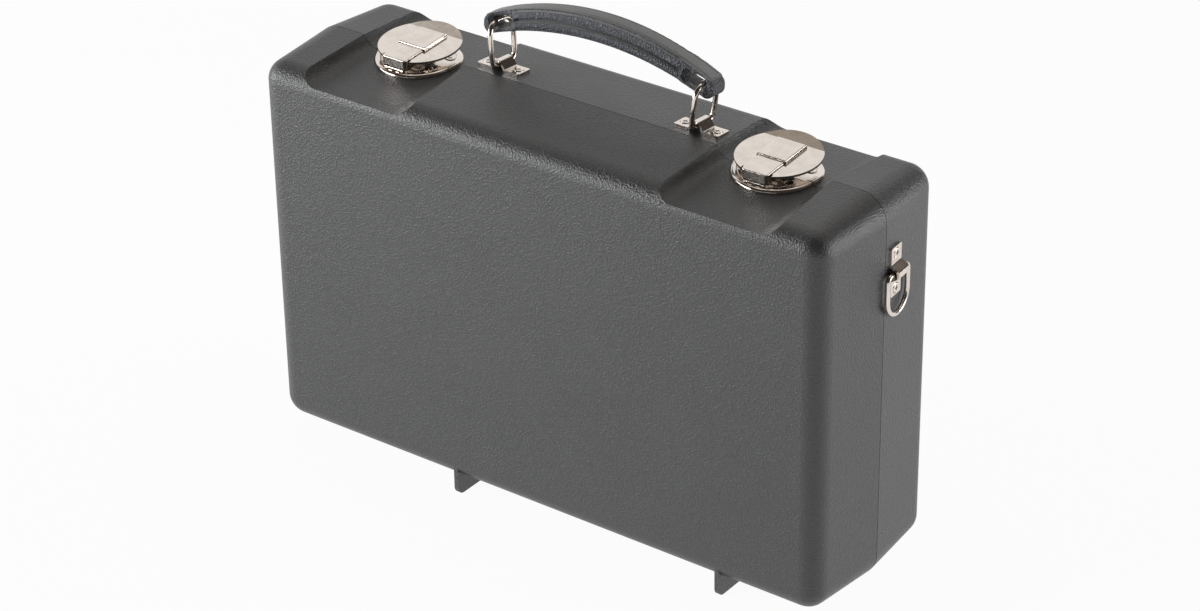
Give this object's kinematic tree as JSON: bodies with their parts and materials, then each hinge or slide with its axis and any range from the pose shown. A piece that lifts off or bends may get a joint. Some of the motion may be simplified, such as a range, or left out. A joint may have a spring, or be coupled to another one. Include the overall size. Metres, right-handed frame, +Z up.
{
  "type": "oboe case",
  "caption": "Moulded oboe case of two drafted shells, with round lift-up latches, an arched carrying handle on wire loops, end rings for a strap and a fitted plush insert.",
  "frame": {"origin": "under the middle of the case, on the floor that its feet stand on, in the parting plane of the halves", "axes": "+X along the case to its right end, -Y towards the lid, +Y towards the body, +Z up to the handle"},
  "size_m": [0.34, 0.0946, 0.2503],
  "materials": {
    "shell": "fine pebble grain",
    "plush": "short plush pile",
    "grip": "leather grain",
    "nickel": "polished nickel plate",
    "steel": "plain"
  },
  "bodies": {
    "case_body": {"body_shell": "shell", "fitted_insert": "plush", "hinge_rivets_body": "nickel", "handle_screws": "nickel", "strap_screws": "nickel", "latch_screws_body": "nickel", "hinge_left_body_leaf": "nickel", "hinge_left_pin": "steel", "handle_bracket_left": "nickel", "strap_bracket_left": "nickel", "latch_left_body_base": "nickel", "hinge_right_body_leaf": "nickel", "hinge_right_pin": "steel", "handle_bracket_right": "nickel", "strap_bracket_right": "nickel", "latch_right_body_base": "nickel"},
    "lid": {"lid_shell": "shell", "lid_pad": "plush", "hinge_rivets_lid": "nickel", "latch_screws_lid": "nickel", "hinge_left_lid_leaf": "nickel", "latch_left_lid_base": "nickel", "latch_left_pin": "steel", "latch_left_spring": "steel", "hinge_right_lid_leaf": "nickel", "latch_right_lid_base": "nickel", "latch_right_pin": "steel", "latch_right_spring": "steel"},
    "latch_lever_left": {"latch_left_lever": "nickel", "latch_left_catch": "steel"},
    "handle_loop_left": {"handle_loop_left": "nickel"},
    "strap_ring_left": {"strap_ring_left": "nickel"},
    "latch_lever_right": {"latch_right_lever": "nickel", "latch_right_catch": "steel"},
    "handle_loop_right": {"handle_loop_right": "nickel"},
    "strap_ring_right": {"strap_ring_right": "nickel"},
    "handle_grip": {"handle_grip": "grip"}
  },
  "joints": [
    {"name": "lid_hinge", "type": "hinge", "parent": "case_body", "child": "lid", "pos_m": [0, 0, 0.0038], "axis": [1, 0, 0], "range_deg": [0, 175]},
    {"name": "latch_left_lift", "type": "hinge", "parent": "lid", "child": "latch_lever_left", "pos_m": [-0.1042, -0.01507, 0.2054], "axis": [1, 0, 0], "range_deg": [0, 90]},
    {"name": "handle_loop_left_swing", "type": "hinge", "parent": "case_body", "child": "handle_loop_left", "pos_m": [-0.0575, 0.01024, 0.21121], "axis": [0, 0.9973, -0.0732], "range_deg": [-60, 60]},
    {"name": "strap_ring_left_swing", "type": "hinge", "parent": "case_body", "child": "strap_ring_left", "pos_m": [-0.1666, 0.00826, 0.1697], "axis": [0.0732, 0.9973, 0], "range_deg": [0, 170]},
    {"name": "latch_right_lift", "type": "hinge", "parent": "lid", "child": "latch_lever_right", "pos_m": [0.1042, -0.01507, 0.2054], "axis": [1, 0, 0], "range_deg": [0, 90]},
    {"name": "handle_loop_right_swing", "type": "hinge", "parent": "case_body", "child": "handle_loop_right", "pos_m": [0.0575, 0.01024, 0.21121], "axis": [0, 0.9973, -0.0732], "range_deg": [-60, 60]},
    {"name": "strap_ring_right_swing", "type": "hinge", "parent": "case_body", "child": "strap_ring_right", "pos_m": [0.1666, 0.00826, 0.1697], "axis": [0.0732, -0.9973, 0], "range_deg": [0, 170]},
    {"name": "handle_grip_swing", "type": "hinge", "parent": "handle_loop_left", "child": "handle_grip", "pos_m": [-0.0598, 0.01184, 0.233], "axis": [0, 0.9973, -0.0732], "range_deg": [-58, 58]}
  ],
  "couplings": [
    {"joint": "handle_loop_right_swing", "follows": "handle_loop_left_swing", "ratio": 1},
    {"joint": "handle_grip_swing", "follows": "handle_loop_left_swing", "ratio": -0.966}
  ]
}
